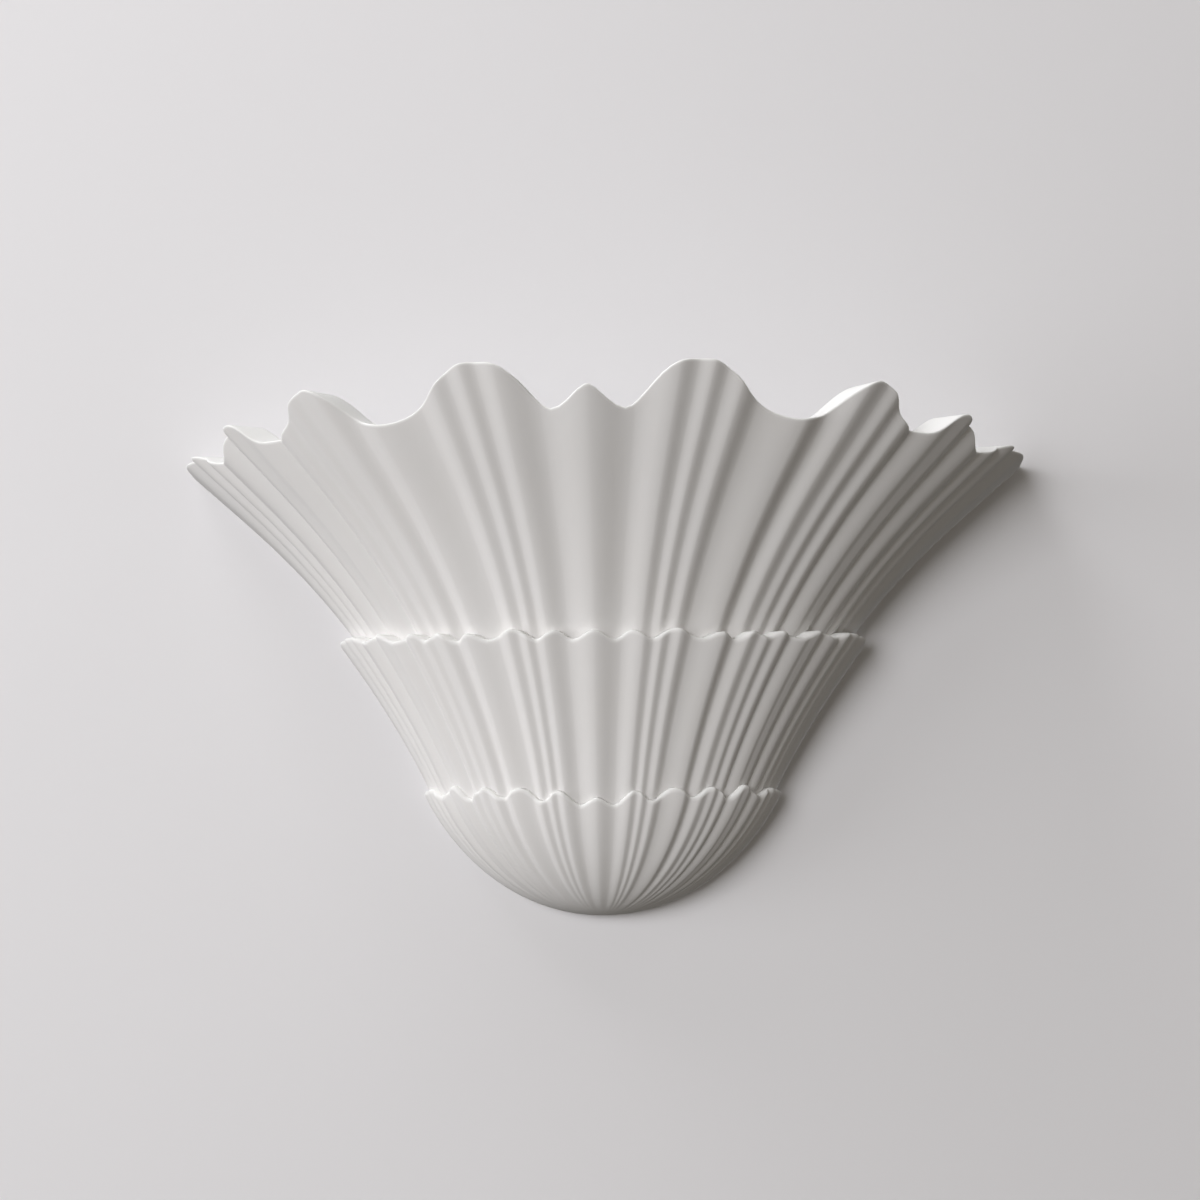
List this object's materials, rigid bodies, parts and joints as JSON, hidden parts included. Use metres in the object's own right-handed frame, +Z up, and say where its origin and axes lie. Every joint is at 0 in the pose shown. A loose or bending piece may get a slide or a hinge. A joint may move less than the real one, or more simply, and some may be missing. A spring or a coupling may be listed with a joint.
{
  "type": "shell wall sconce",
  "caption": "Wall uplight with a fluted plaster shade in stacked shell-like tiers, hung by a steel bar on a wall bracket that carries capsule lamps.",
  "frame": {"origin": "point on the wall plate's back face, on the object's centre line, midway up the bracket; the wall is the plane y = 0", "axes": "+X to the viewer's right, +Y into the wall, -Y is the front, +Z is up"},
  "size_m": [0.5978, 0.1934, 0.339],
  "materials": {
    "cast_plaster": "matt, painted white",
    "white_enamelled_steel": "satin",
    "zinc_plated_steel": "satin",
    "brass": "satin",
    "tinned_copper": "satin",
    "black_rubber": "matt",
    "steatite": "matt",
    "natural_nylon": "satin",
    "brown_silicone": "satin",
    "blue_silicone": "satin",
    "green_silicone": "satin",
    "lamp_base_ceramic": "matt",
    "lamp_board": "matt",
    "led_phosphor": "satin",
    "frosted_cover": "satin"
  },
  "bodies": {
    "bracket": {"wall_plate": "white_enamelled_steel", "cable_grommet": "black_rubber", "plate_studs": "zinc_plated_steel", "lamp_tray": "white_enamelled_steel", "tray_nuts": "zinc_plated_steel", "holder_left": "steatite", "holder_right": "steatite", "clips_left": "zinc_plated_steel", "clips_right": "zinc_plated_steel", "holder_screws": "zinc_plated_steel", "holder_nuts": "zinc_plated_steel", "terminal_housing": "natural_nylon", "terminal_inserts": "brass", "terminal_screws": "zinc_plated_steel", "block_nuts": "zinc_plated_steel", "earth_ring": "tinned_copper", "earth_washer": "brass", "earth_nut": "zinc_plated_steel", "live_leads": "brown_silicone", "neutral_leads": "blue_silicone", "earth_lead": "green_silicone"},
    "shade": {"upper_shell": "cast_plaster", "middle_shell": "cast_plaster", "lower_bowl": "cast_plaster", "hanger_bar": "zinc_plated_steel", "hanger_screws": "zinc_plated_steel", "hanger_inserts": "brass"},
    "lamp_left": {"lamp_base_left": "lamp_base_ceramic", "lamp_pins_left": "zinc_plated_steel", "lamp_board_left": "lamp_board", "lamp_chips_left": "led_phosphor", "lamp_cover_left": "frosted_cover"},
    "lamp_right": {"lamp_base_right": "lamp_base_ceramic", "lamp_pins_right": "zinc_plated_steel", "lamp_board_right": "lamp_board", "lamp_chips_right": "led_phosphor", "lamp_cover_right": "frosted_cover"}
  },
  "joints": [
    {"name": "shade_lift", "type": "slide", "parent": "bracket", "child": "shade", "axis": [0, 0, 1], "range_m": [0, 0.016]},
    {"name": "lamp_left_pull", "type": "slide", "parent": "bracket", "child": "lamp_left", "axis": [0, 0, 1], "range_m": [0, 0.012]},
    {"name": "lamp_right_pull", "type": "slide", "parent": "bracket", "child": "lamp_right", "axis": [0, 0, 1], "range_m": [0, 0.012]}
  ]
}
